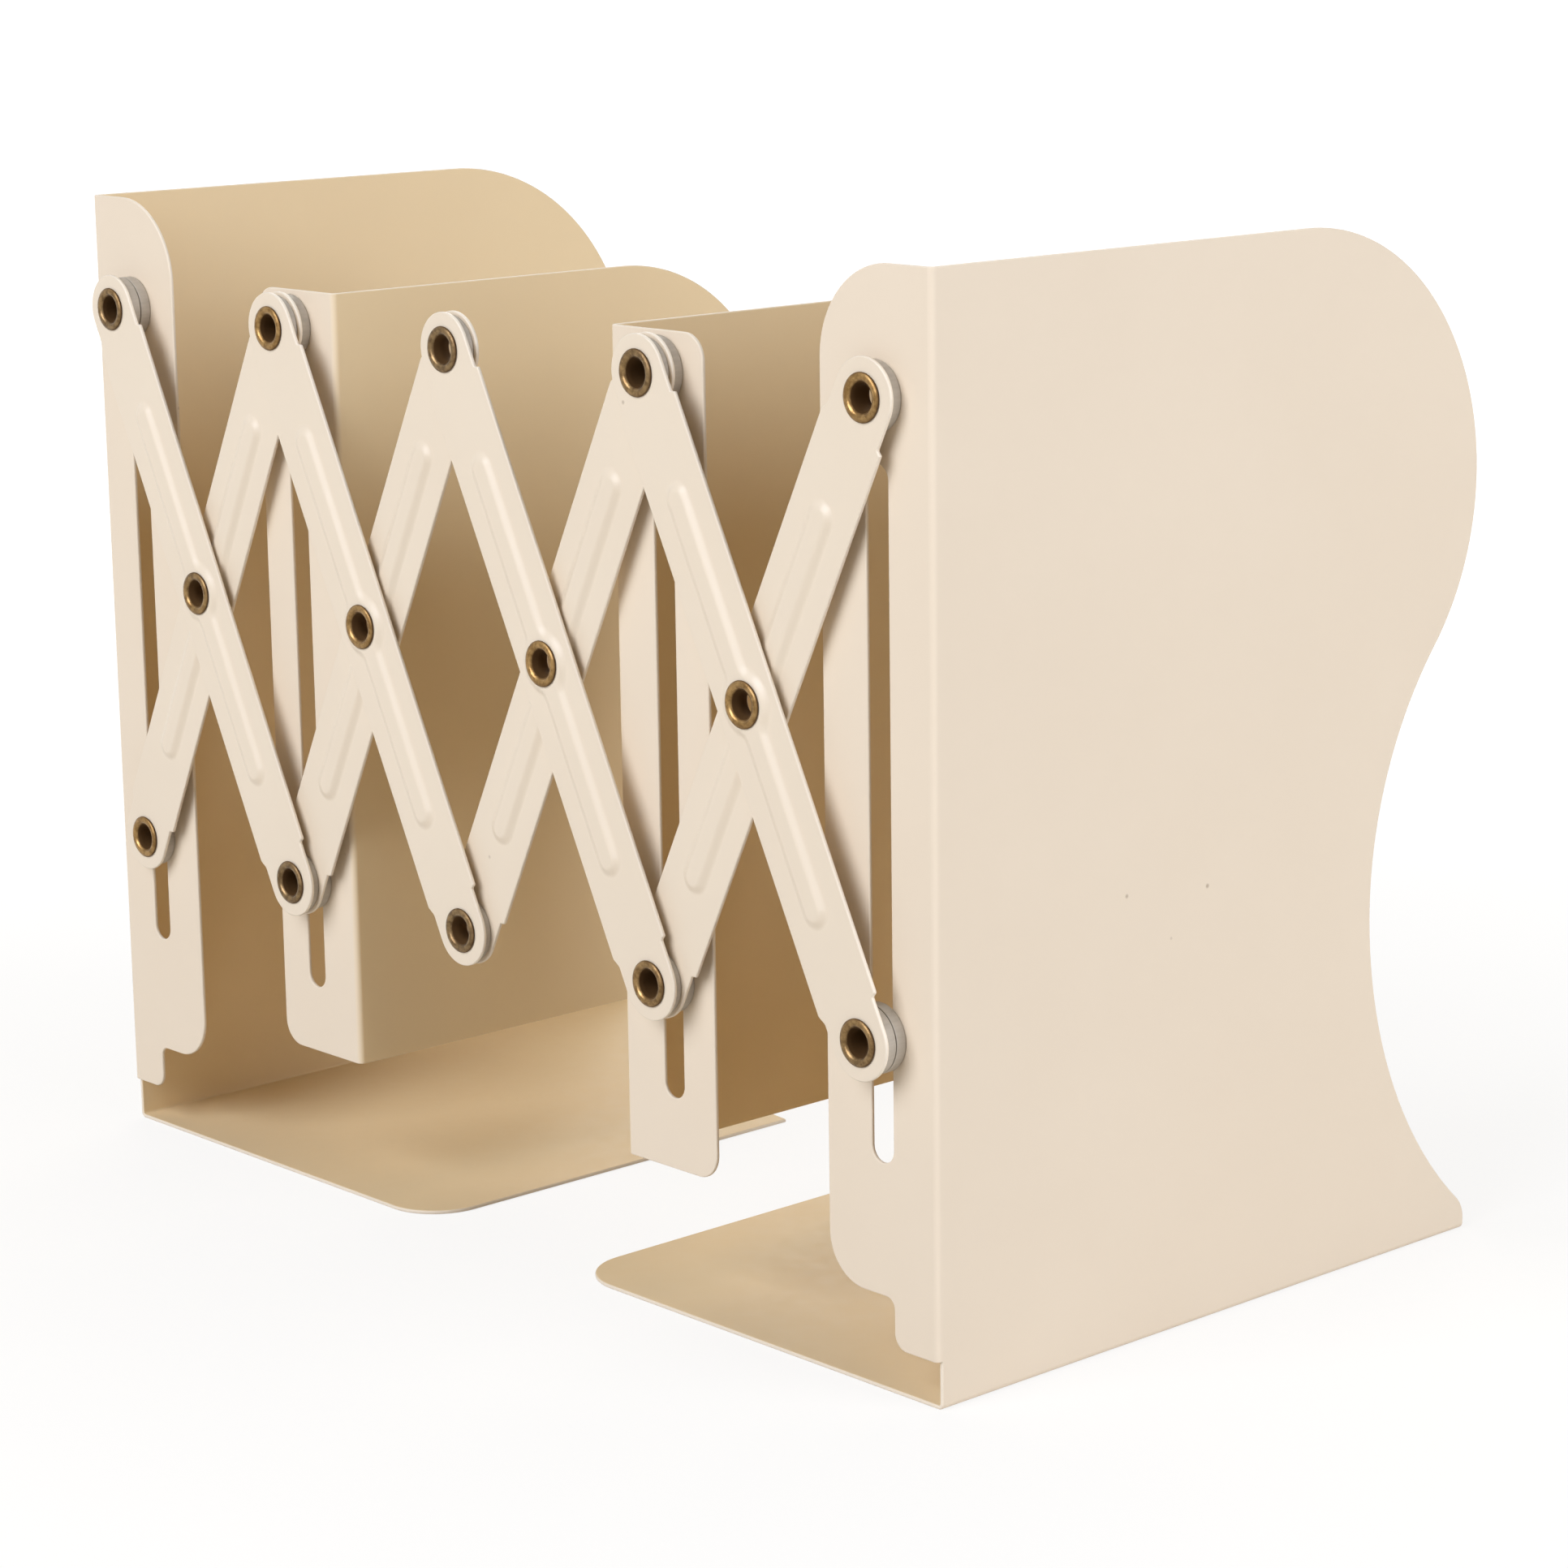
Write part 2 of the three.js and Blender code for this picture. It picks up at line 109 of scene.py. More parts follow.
# Lattice bar
BAR_HALF_WIDTH = 8
BAR_SHOULDER = 1
NOTCH_FROM_PIVOT = 6.3
NOTCH_RUN = 0.5
NOTCH_RADIUS = 0.35
SWEEP_FROM_PIVOT = 5.2
SWEEP_RUN = 1.6
SWEEP_RADIUS = 1.6
RIDGE_END_INSET = 20.5
RIDGE_FOOT_HALF_WIDTH = 3.5
RIDGE_PAD_FOOT_RADIUS = 6.6
RIDGE_FILLET_RADIUS = 2.2
RIDGE_SLOPE = 2.2
RIDGE_STEPS = 10
RIDGE_ARC_STEPS = 10
RIDGE_HEIGHT = 0.8

# Eyelet
BORE_RADIUS = 2.25
BARREL_RADIUS = 2.55
HEAD_HEIGHT = 0.55
FLARE_HEIGHT = 0.6
LIP_UNDERCUT = 0.16
LIP_SHOULDER_SHARE = 0.2
LIP_CREST_SHARE = 0.48
LIP_STEPS = 9
THROAT_RADIUS = 2.6
THROAT_DEPTH = 0.95
BORE_STEP = 0.3
# How tightly the dark patina hugs the throat and the outer foot of a lip; at the outer foot, where
# the head meets the bar, it is partly painted shade.
PATINA_AND_RIM_SHADE_POWER = 6
FLARE_SPREAD_SHARE = 0.31
ROUND_SIDES = 72

# Washer
WASHER_BORE = 2.7
WASHER_ROUNDING = 0.12
WASHER_ROUNDING_MIDDLE = 0.3

# Finishes: colours, and scales in lumps per metre
# Deeper cream painted on the faces inside the cells, as painted shade.
INNER_SHADE_CREAM = (0.85, 0.665, 0.40)
PLATE_CREAM = (0.825, 0.70, 0.54)
# Paler cream on the plates' rounded edges, a painted highlight.
PLATE_EDGE_HIGHLIGHT = (0.86, 0.75, 0.60)
PLATE_GLOSS = 0.3
PLATE_ROUGHNESS = 0.5
BAR_CREAM = (0.815, 0.695, 0.535)
# Paler cream on the bars' rounded edges, a painted highlight.
BAR_EDGE_HIGHLIGHT = (0.86, 0.76, 0.62)
BAR_GLOSS = 0.5
BAR_ROUGHNESS = 0.36
CLOUD_SCALE = 28
CLOUD_SHARE = 0.04
CLOUD_TONE = (0.55, 0.40, 0.25)
SPECK_SCALE = 55
SPECK_CORE = 0.012
SPECK_RIM = 0.03
SPECK_SHARE = 0.55
SPECK_TONE = (0.28, 0.19, 0.11)
DULL_SCALE = 300
DULL_SPREAD = 0.05
PEEL_SCALE = 1700
PEEL_STRENGTH = 0.12
PEEL_DEPTH = 0.00004
BRASS_GRAIN_SCALE = 900
BRASS_AGE_SCALE = 24
BRASS_GOLDEN = ((0.20, 0.112, 0.038), (0.37, 0.228, 0.09))
BRASS_BROWN = ((0.12, 0.074, 0.035), (0.25, 0.165, 0.08))
BRASS_ROUGHNESS = 0.27
BRASS_GLOSS = 0.1
# Dark brown patina in the bore; at the eyelets' outer rim the same tone is partly painted shade.
PATINA_AND_RIM_SHADE_TONE = (0.085, 0.042, 0.014)
PATINA_AND_RIM_SHADE_ROUGHNESS = 0.8
BRASS_PIT_SCALE = 2300
BRASS_PIT_STRENGTH = 0.2
BRASS_PIT_DEPTH = 0.00003
PLASTIC_TONES = ((0.44, 0.39, 0.32), (0.50, 0.445, 0.37))
PLASTIC_ROUGHNESS = 0.5
STREAK_SCALE = 1500
STREAK_STRETCH = (1, 0.15, 1)
STREAK_STRENGTH = 0.2
STREAK_DEPTH = 0.00004

# Camera, matched to the photograph: an image 1932 pixels on a side
IMAGE_SIDE = 1932
SENSOR = 36
FOCAL_PIXELS = 5163.3
CAMERA_AZIMUTH = 47.87
CAMERA_ELEVATION = 12.38
CAMERA_ROLL = -0.81
CAMERA_DISTANCE = 738.05
TARGET_FROM_LEFT = 211.91
TARGET_HEIGHT = 106.96

# Studio, in metres. A lamp has its name, azimuth, elevation, watts and colour.
LAMP_SIDE = 1.8
LAMP_DISTANCE = 2.5
LAMP_AIM_HEIGHT = 0.1
COOL_WHITE = (0.87, 0.905, 1.0)
WARM_WHITE = (1.0, 0.95, 0.85)
LAMPS = [
    ("front", 1, 31, 65, COOL_WHITE),
    ("side", 103, 16, 53, COOL_WHITE),
    ("back", -140, 38, 22, WARM_WHITE),
]
ROOM_COLOUR = (1.0, 0.9, 0.75)
ROOM_STRENGTH = 0.02
FLOOR_HALF_SIDE = 15
FLOOR_DROP = 0.0001
FLOOR_COLOUR = (0.68, 0.635, 0.56)
FLOOR_GLOW = 1.15
FLOOR_GLOW_SHARE = 0.72
FLOOR_SHADOW_REACH = 0.15
FLOOR_WHITE_REACH = 0.75

BEND_OUTER = BEND_INNER + SHEET
BEND_LENGTH = (BEND_INNER + SHEET / 2) * math.pi / 2


# Outlines: lists of points (a, b) in millimetres

def arc(centre, radius, start, end):
    """Points along an arc, both ends included, close to the true curve for its radius."""
    step = 2 * math.acos(1 - ARC_SAG / radius)
    count = max(3, math.ceil(abs(end - start) / step))
    angles = [start + (end - start) * i / count for i in range(count + 1)]
    return [(centre[0] + radius * math.cos(t), centre[1] + radius * math.sin(t)) for t in angles]


def circle(centre, radius):
    return arc(centre, radius, 0, 2 * math.pi)[:-1]


def slot_outline(across, bottom, top, radius):
    upper = arc((across, top - radius), radius, 0, math.pi)
    lower = arc((across, bottom + radius), radius, math.pi, 2 * math.pi)
    return upper + lower


def apart(points):
    """The closed outline without points that touch the one before."""
    pairs = zip(points, points[-1:] + points[:-1])
    return [point for point, before in pairs if math.dist(point, before) > TOUCHING]


def rounded(corners):
    """A closed outline from corners (a, b, radius), each rounded by its radius."""
    points = []
    for i, (a, b, radius) in enumerate(corners):
        corner = Vector((a, b))
        if not radius:
            points.append((a, b))
            continue
        before = (Vector(corners[i - 1][:2]) - corner).normalized()
        after = (Vector(corners[(i + 1) % len(corners)][:2]) - corner).normalized()
        half = before.angle(after) / 2
        centre = corner + (before + after).normalized() * radius / math.sin(half)
        start = corner + before * radius / math.tan(half) - centre
        end = corner + after * radius / math.tan(half) - centre
        first = math.atan2(start.y, start.x)
        turn = math.atan2(start.x * end.y - start.y * end.x, start.dot(end))
        points += arc(centre, radius, first, first + turn)
    return apart(points)


def wavy_edge(depth, bottom, top, curve):
    """The back edge of a panel from its top to its bottom: a round lobe, a hollow waist whose
    arcs are tangent to the lobe and the tail, and the tail's rounded corner."""
    radius = curve["lobe_radius"]
    tail_radius = curve["tail_radius"]
    lobe = (depth - curve["lobe_inset"] - radius, top - radius)
    tail = (depth - tail_radius, bottom + curve["tail_rise"])
    waist = (depth - curve["waist_inset"], bottom + curve["waist_rise"])
    across = waist[0] - lobe[0]
    above = lobe[1] - waist[1]
    upper_radius = (across ** 2 + above ** 2 - radius ** 2) / (2 * (radius - across))
    below = curve["waist_rise"] - curve["tail_rise"]
    hollow = curve["waist_inset"]
    lower_radius = (below ** 2 + hollow ** 2) / (2 * hollow) - tail_radius
    upper = (waist[0] + upper_radius, waist[1])
    lower = (waist[0] + lower_radius, waist[1])
    lobe_end = math.atan2(upper[1] - lobe[1], upper[0] - lobe[0])
    tail_start = math.atan2(lower[1] - tail[1], lower[0] - tail[0])
    return [
        *arc(lobe, radius, math.pi / 2, lobe_end),
        *arc(upper, upper_radius, lobe_end + math.pi, math.pi)[1:],
        *arc(lower, lower_radius, math.pi, tail_start + math.pi)[1:],
        *arc(tail, tail_radius, tail_start, 0)[1:],
        (depth, bottom),
    ]


def hollow_arc(start, end, radius):
    """An arc from start to end, its centre to the left of the way between them."""
    chord = Vector(end) - Vector(start)
    rise = math.sqrt(radius ** 2 - chord.length_squared / 4)
    centre = (Vector(start) + Vector(end)) / 2 + Vector((-chord.y, chord.x)).normalized() * rise
    first = Vector(start) - centre
    last = Vector(end) - centre
    turn = math.atan2(first.x * last.y - first.y * last.x, first.dot(last))
    angle = math.atan2(first.y, first.x)
    return arc(centre, radius, angle, angle + turn)


def turned(loop, anticlockwise):
    """The loop with its points in the asked direction."""
    pairs = zip(loop, loop[1:] + loop[:1])
    area = sum(p[0] * q[1] - q[0] * p[1] for p, q in pairs)
    return loop if (area > 0) == anticlockwise else loop[::-1]


def inset(loop, distance):
    """The loop moved to its left, which is into the sheet."""
    moved = []
    for i, point in enumerate(loop):
        here = Vector(point)
        into = (here - Vector(loop[i - 1])).normalized()
        out = (Vector(loop[(i + 1) % len(loop)]) - here).normalized()
        left = Vector((-into.y - out.y, into.x + out.x)) / (1 + into.dot(out))
        moved.append(tuple(here + left * distance))
    return moved


def split(loop, axis, values):
    """The loop with a point added wherever an edge crosses one of the values on an axis."""
    points = []
    for p, q in zip(loop, loop[1:] + loop[:1]):
        points.append(p)
        low = min(p[axis], q[axis]) + TOUCHING
        high = max(p[axis], q[axis]) - TOUCHING
        crossed = [value for value in values if low < value < high]
        for value in sorted(crossed, reverse=p[axis] > q[axis]):
            share = (value - p[axis]) / (q[axis] - p[axis])
            cut = [p[0] + (q[0] - p[0]) * share, p[1] + (q[1] - p[1]) * share]
            cut[axis] = value
            points.append(tuple(cut))
    return points


def inside(point, loops):
    """Whether a point lies in the sheet: inside an odd number of loops."""
    crossings = 0
    for loop in loops:
        for p, q in zip(loop, loop[1:] + loop[:1]):
            if (p[1] > point[1]) == (q[1] > point[1]):
                continue
            if p[0] + (q[0] - p[0]) * (point[1] - p[1]) / (q[1] - p[1]) > point[0]:
                crossings += 1
    return crossings % 2 == 1


def no_inner_shade(a, depth):
    """Bars have no painted shade: one colour of cream all over."""
    return 0


def end_plate_inner_shade(a, depth):
    """An end plate's outside and flange front have the plain cream, its inside faces the deeper
    cream that is painted shade.
    """
    return depth / SHEET


def divider_inner_shade(a, depth):
    """Only the front of a divider's flange has the plain cream; the rest has the deeper cream that
    is painted shade.
    """
    return max(depth / SHEET, min(1, max(0, 1 + a / BEND_LENGTH)))


class Sheet:
    """A sheet with thickness and rounded edges. place(a, b, depth) gives the point in metres
    of flat point (a, b) that lies depth behind the sheet's front face, and the third
    function, given (a, depth), the share there of painted shade: the deeper cream on faces
    inside the cells."""

    def __init__(self, place, rounding, inner_shade_share):
        self.place = place
        self.rounding = rounding
        self.inner_shade_share = inner_shade_share
        self.mesh = bmesh.new()
        # Per vertex: the share of painted highlight on rounded edges, and of painted shade on faces
        # inside the cells.
        self.painted_highlight_shade_and_patina = self.mesh.verts.layers.float.new("painted_highlight_shade_and_patina")
        self.inner_shade = self.mesh.verts.layers.float.new("inner_shade")

    def ring(self, points, depth, lift, painted_highlight_shade_and_patina):
        verts = []
        for a, b in points:
            vert = self.mesh.verts.new(self.place(a, b, depth - lift))
            vert[self.painted_highlight_shade_and_patina] = painted_highlight_shade_and_patina
            vert[self.inner_shade] = self.inner_shade_share(a, depth)
            verts.append(vert)
        return verts

    def bridge(self, one, other):
        count = len(one)
        for i in range(count):
            after = (i + 1) % count
            self.mesh.faces.new((one[i], one[after], other[after], other[i]))

    def edge(self, loop, anticlockwise, lift=0):
        """A rounded edge round the sheet or round a hole in it."""
        loop = turned(loop, anticlockwise)
        quarter = [math.pi / 2 * i / ROUNDING_STEPS for i in range(ROUNDING_STEPS + 1)]
        # Each step's third value is the share of painted highlight: none where the rounding meets a
        # face, full on the edge's outermost band.
        front = [(1 - math.sin(t), 1 - math.cos(t), math.sin(t)) for t in quarter]
        rings = []
        for side, steps in ((1, front), (-1, front[::-1])):
            for inward, down, painted_highlight_shade_and_patina in steps:
                depth = self.rounding * down
                points = inset(loop, self.rounding * inward)
                rings.append(self.ring(points, depth if side > 0 else SHEET - depth, lift, painted_highlight_shade_and_patina))
        for one, other in zip(rings, rings[1:]):
            self.bridge(one, other)
        return {"loop": inset(loop, self.rounding), "front": rings[0], "back": rings[-1]}

    def contour(self, loop, lift):
        """A line on both faces that a pressed form follows."""
        front = self.ring(loop, 0, lift, 0)
        back = self.ring(loop, SHEET, lift, 0)
        return {"loop": loop, "front": front, "back": back}

    def join(self, contours):
        for one, other in zip(contours, contours[1:]):
            self.bridge(one["front"], other["front"])
            self.bridge(one["back"], other["back"])

    def fill(self, edges, creases=()):
        """Both faces of the sheet between edges. A crease is a pair of points of the first."""
        points = []
        lines = []
        for edge in edges:
            start = len(points)
            count = len(edge["loop"])
            points += edge["loop"]
            lines += [(start + i, start + (i + 1) % count) for i in range(count)]
        lines += creases
        flat = [Vector(point) for point in points]
        made = delaunay_2d_cdt(flat, lines, [], 0, FILL_EPSILON)
        corners = [origins[0] for origins in made[3]]
        loops = [edge["loop"] for edge in edges]
        front = [vert for edge in edges for vert in edge["front"]]
        back = [vert for edge in edges for vert in edge["back"]]
        for face in made[2]:
            at = [corners[i] for i in face]
            middle = sum((flat[i] for i in at), Vector((0, 0))) / 3
            if inside(middle, loops):
                self.mesh.faces.new([front[i] for i in at])
                self.mesh.faces.new([back[i] for i in at])

    def piece(self, name):
        return piece_from(self.mesh, name)


def piece_from(mesh, name):
    """A smooth shaded object from a bmesh, its flat faces kept flat by their area."""
    bmesh.ops.recalc_face_normals(mesh, faces=mesh.faces)
    data = bpy.data.meshes.new(name)
    mesh.to_mesh(data)
    mesh.free()
    data.shade_smooth()
    piece = bpy.data.objects.new(name, data)
    bpy.context.scene.collection.objects.link(piece)
    normals = piece.modifiers.new("even_normals", "WEIGHTED_NORMAL")
    normals.mode = "FACE_AREA"
    normals.weight = 100
    return piece


def node_box(node):
    low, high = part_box(node)
    return low / MM, high / MM


def node_centre(node):
    low, high = node_box(node)
    return (low + high) / 2


def body_of(node):
    return frame["nodes"][node]["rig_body"]


def stand_for(piece, node, material):
    piece.data.materials.append(material)
    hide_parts(node)
    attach(piece, body_of(node))


# Bent plates. Their flat pattern has a = 0 where the fold starts on the panel, growing to the
# back, and b = 0 where the base's fold starts, growing upwards.

def folded(origin, hand):
    """place() for a plate whose corner is at origin and whose flange points to hand."""
    def place(a, b, depth):
        reach = BEND_OUTER - depth
        x = depth
        y = BEND_OUTER + a
        z = BEND_OUTER + b
        if a < 0 <= b:
            turn = min(1, -a / BEND_LENGTH) * math.pi / 2
            x = BEND_OUTER - reach * math.cos(turn) + max(0, -a - BEND_LENGTH)
            y = BEND_OUTER - reach * math.sin(turn)
        elif b < 0:
            turn = min(1, -b / BEND_LENGTH) * math.pi / 2
            x = BEND_OUTER - reach * math.cos(turn) + max(0, -b - BEND_LENGTH)
            z = BEND_OUTER - reach * math.sin(turn)
        return (origin + Vector((hand * x, y, z))) * MM
    return place


def unrolled(x):
    """Where a point x away from the fold lies on the flat pattern."""
    return BEND_OUTER - BEND_LENGTH - x


def bend_lines():
    return [-BEND_LENGTH * i / BEND_STEPS for i in range(BEND_STEPS + 1)]


def creases_along(loop, axis, values, above=-math.inf):
    """Pairs of the loop's points that lie on each value, the lowest one above a height with
    the highest."""
    pairs = []
    for value in values:
        on_line = [
            i for i, p in enumerate(loop) if abs(p[axis] - value) < TOUCHING and p[1] > above
        ]
        on_line.sort(key=lambda i: loop[i][1 - axis])
        pairs.append((on_line[0], on_line[-1]))
    return pairs


def pivot_holes(sheet, pivot, slot_bottom, slot_top):
    """The slot and the round hole that a flange has on its pivots' line."""
    across = unrolled(pivot[0])
    slot = slot_outline(across, slot_bottom, slot_top, PIVOT_HOLE_RADIUS)
    hole = circle((across, pivot[1] - BEND_OUTER), PIVOT_HOLE_RADIUS)
    return [sheet.edge(slot, False), sheet.edge(hole, False)]


def flange_pivots(column, edge_x, hand):
    """The top pivot seen from the fold, and the slot's ends on the flat pattern."""
    top = node_centre(f"top_eyelet_{column}")
    bottom = node_centre(f"bottom_eyelet_{column}")
    across = (top.x - edge_x) * hand
    slot_bottom = bottom.z - SLOT_BELOW_PIVOT - BEND_OUTER
    slot_top = top.z - SLOT_TOP_DROP - BEND_OUTER
    return (across, top.z), slot_bottom, slot_top


def end_plate(node, column, hand, material):
    low, high = node_box(node)
    edge_x = low.x if hand > 0 else high.x
    depth = high.y - low.y
    top = high.z - BEND_OUTER
    foot = TAB_HEIGHT - BEND_OUTER
    shelf = foot + TAB_DROP
    base_reach = unrolled(high.x - low.x)
    base_end = BASE_END_DEPTH - BEND_OUTER
    tail = (depth - BEND_OUTER, -BEND_LENGTH - BASE_TAIL_RUN)
    panel_back = wavy_edge(depth - BEND_OUTER, 0, top, PLATE_CURVE)
    base_back = hollow_arc(tail, (base_end, base_reach), BASE_BACK_RADIUS)
    outline = rounded([
        *((a, b, 0) for a, b in panel_back + base_back),
        (0, base_reach, BASE_FRONT_RADIUS),
        (0, foot, 0),
        (unrolled(TAB_WIDTH), foot, TAB_OUTER_RADIUS),
        (unrolled(TAB_WIDTH), shelf, TAB_INNER_RADIUS),
        (unrolled(FLANGE_WIDTH), shelf, FLANGE_FOOT_RADIUS),
        (unrolled(FLANGE_WIDTH), top, FLANGE_TOP_RADIUS),
    ])
    outline = split(split(outline, 0, bend_lines()), 1, bend_lines())
    outline = turned(outline, True)
    place = folded(Vector((edge_x, low.y, low.z)), hand)
    sheet = Sheet(place, PLATE_ROUNDING, end_plate_inner_shade)
    hole = (base_end - BASE_HOLE_FROM_BACK, base_reach + BASE_HOLE_INSET)
    edges = [
        sheet.edge(outline, True),
        *pivot_holes(sheet, *flange_pivots(column, edge_x, hand)),
        sheet.edge(circle(hole, BASE_HOLE_RADIUS), False),
    ]
    creases = [
        *creases_along(outline, 0, bend_lines(), foot - TOUCHING),
        *creases_along(outline, 1, bend_lines()),
    ]
    sheet.fill(edges, creases)
    stand_for(sheet.piece(f"{node}_sheet"), node, material)


def divider(node, column, hand, material):
    low, high = node_box(node)
    edge_x = low.x if hand > 0 else high.x
    depth = high.y - low.y
    bottom = low.z - BEND_OUTER
    top = high.z - BEND_OUTER
    reach = unrolled(high.x - low.x)
    outline = rounded([
        *((a, b, 0) for a, b in wavy_edge(depth - BEND_OUTER, bottom, top, DIVIDER_CURVE)),
        (reach, bottom, DIVIDER_CORNER_RADIUS),
        (reach, top, DIVIDER_CORNER_RADIUS),
    ])
    outline = turned(split(outline, 0, bend_lines()), True)
    place = folded(Vector((edge_x, low.y, 0)), hand)
    sheet = Sheet(place, PLATE_ROUNDING, divider_inner_shade)
    edges = [
        sheet.edge(outline, True),
        *pivot_holes(sheet, *flange_pivots(column, edge_x, hand)),
    ]
    sheet.fill(edges, creases_along(outline, 0, bend_lines()))
    stand_for(sheet.piece(f"{node}_sheet"), node, material)


# Stamped bars: a is across and b along the bar, from its middle pivot

def bar_outline(pivot_half):
    end = BAR_HALF_WIDTH - BAR_SHOULDER
    tip = pivot_half + end
    notch_near = pivot_half - NOTCH_FROM_PIVOT
    notch_far = notch_near - NOTCH_RUN
    sweep_near = pivot_half - SWEEP_FROM_PIVOT
    sweep_far = sweep_near - SWEEP_RUN
    return rounded([
        (end, -tip, end),
        (end, -notch_near, NOTCH_RADIUS),
        (BAR_HALF_WIDTH, -notch_far, NOTCH_RADIUS),
        (BAR_HALF_WIDTH, notch_far, NOTCH_RADIUS),
        (end, notch_near, NOTCH_RADIUS),
        (end, tip, end),
        (-end, tip, end),
        (-end, sweep_near, SWEEP_RADIUS),
        (-BAR_HALF_WIDTH, sweep_far, SWEEP_RADIUS),
        (-BAR_HALF_WIDTH, -sweep_far, SWEEP_RADIUS),
        (-end, -sweep_near, SWEEP_RADIUS),
        (-end, -tip, end),
    ])


def ridge_outline(pivot_half, inward):
    """The pressed ridge and its round pad, filleted together, drawn in by inward."""
    half = RIDGE_FOOT_HALF_WIDTH - inward
    pad = RIDGE_PAD_FOOT_RADIUS - inward
    fillet = RIDGE_FILLET_RADIUS + inward
    end = pivot_half - RIDGE_END_INSET - RIDGE_FOOT_HALF_WIDTH
    across = RIDGE_FOOT_HALF_WIDTH + RIDGE_FILLET_RADIUS
    along = math.sqrt((RIDGE_PAD_FOOT_RADIUS + RIDGE_FILLET_RADIUS) ** 2 - across ** 2)
    lean = math.atan2(along, across)
    turn = [i / RIDGE_ARC_STEPS for i in range(RIDGE_ARC_STEPS + 1)]
    quarter = []
    for t in turn:
        angle = math.pi / 2 * (1 - t)
        quarter.append((half * math.cos(angle), end + half * math.sin(angle)))
    for t in turn:
        angle = math.pi + lean * t
        quarter.append((across + fillet * math.cos(angle), along + fillet * math.sin(angle)))
    for t in turn[1:]:
        angle = lean * (1 - t)
        quarter.append((pad * math.cos(angle), pad * math.sin(angle)))
    right = quarter + [(a, -b) for a, b in quarter[-2::-1]]
    return right + [(-a, -b) for a, b in right[1:-1]]


def bar(node, top_pivot, bottom_pivot, middle_pivot, material):
    low, _ = node_box(node)
    top = node_centre(top_pivot)
    bottom = node_centre(bottom_pivot)
    middle = node_centre(middle_pivot)
    along = Vector((top.x - bottom.x, 0, top.z - bottom.z))
    pivot_half = along.length / 2
    along.normalize()
    across = Vector((along.z, 0, -along.x))
    face = low.y + RIDGE_HEIGHT

    def place(a, b, depth):
        flat = Vector((middle.x, 0, middle.z)) + across * a + along * b
        return Vector((flat.x, face + depth, flat.z)) * MM

    sheet = Sheet(place, BAR_ROUNDING, no_inner_shade)
    outer = sheet.edge(bar_outline(pivot_half), True)
    ends = [
        sheet.edge(circle((0, side * pivot_half), PIVOT_HOLE_RADIUS), False) for side in (-1, 1)
    ]
    pad_hole = sheet.edge(circle((0, 0), PIVOT_HOLE_RADIUS), False, RIDGE_HEIGHT)
    contours = []
    for step in range(RIDGE_STEPS + 1):
        share = step / RIDGE_STEPS
        lift = RIDGE_HEIGHT * (1 - math.cos(math.pi * share)) / 2
        contours.append(sheet.contour(ridge_outline(pivot_half, RIDGE_SLOPE * share), lift))
    sheet.fill([outer, *ends, contours[0]])
    sheet.join(contours)
    sheet.fill([contours[-1], pad_hole])
    stand_for(sheet.piece(f"{node}_stamping"), node, material)


# Round pieces, turned about a line along Y

def turned_piece(name, centre, profile):
    """A closed profile of (radius, y, patina) turned about the line along Y at centre. At an
    eyelet's outer rim the patina value is partly painted shade.
    """
    mesh = bmesh.new()
    patina_and_rim_shade = mesh.verts.layers.float.new("painted_highlight_shade_and_patina")
    rings = []
    for side in range(ROUND_SIDES):
        angle = 2 * math.pi * side / ROUND_SIDES
        ring = []
        for radius, y, value in profile:
            x = centre.x + radius * math.cos(angle)
            z = centre.z + radius * math.sin(angle)
            vert = mesh.verts.new(Vector((x, y, z)) * MM)
            vert[patina_and_rim_shade] = value
            ring.append(vert)
        rings.append(ring)
    count = len(profile)
    for one, other in zip(rings, rings[1:] + rings[:1]):
        for i in range(count):
            after = (i + 1) % count
            mesh.faces.new((one[i], one[after], other[after], other[i]))
    return piece_from(mesh, name)


def lip(seat, outward, outer, height):
    """A rolled lip from its foot, over its crest and down its funnel to the bore. Its profile
    points are (radius, y, patina), and outward is the way along Y that it stands up from its
    seat. The patina is darkest in the throat and at the outer foot, where it is partly
    painted shade of the seat against the bar."""
    crest = outer + (THROAT_RADIUS - outer) * LIP_CREST_SHARE
    shoulder = height * LIP_SHOULDER_SHARE
    points = [(outer - LIP_UNDERCUT, seat, 1.0)]
    for step in range(LIP_STEPS + 1):
        angle = math.pi / 2 * step / LIP_STEPS
        radius = crest + (outer - crest) * math.cos(angle)
        up = shoulder + (height - shoulder) * math.sin(angle)
        points.append((radius, seat + outward * up, math.cos(angle) ** PATINA_AND_RIM_SHADE_POWER))
    for step in range(1, LIP_STEPS + 1):
        angle = math.pi / 2 * step / LIP_STEPS
        radius = crest - (crest - THROAT_RADIUS) * math.sin(angle)
        up = height - THROAT_DEPTH * (1 - math.cos(angle))
        points.append((radius, seat + outward * up, math.sin(angle) ** PATINA_AND_RIM_SHADE_POWER))
    step_up = height - THROAT_DEPTH - BORE_STEP
    points.append((BORE_RADIUS, seat + outward * step_up, 1.0))
    return points


def eyelet(node, material):
    low, high = node_box(node)
    centre = (low + high) / 2
    outer = (high.x - low.x) / 2
    head_seat = low.y + HEAD_HEIGHT
    flare_seat = high.y - FLARE_HEIGHT
    head = lip(head_seat, -1, outer, HEAD_HEIGHT)
    flare = lip(flare_seat, 1, BARREL_RADIUS + outer * FLARE_SPREAD_SHARE, FLARE_HEIGHT)
    barrel = [(BARREL_RADIUS, flare_seat, 1.0), (BARREL_RADIUS, head_seat, 1.0)]
    profile = head + flare[::-1] + barrel
    stand_for(turned_piece(f"{node}_brass", centre, profile), node, material)


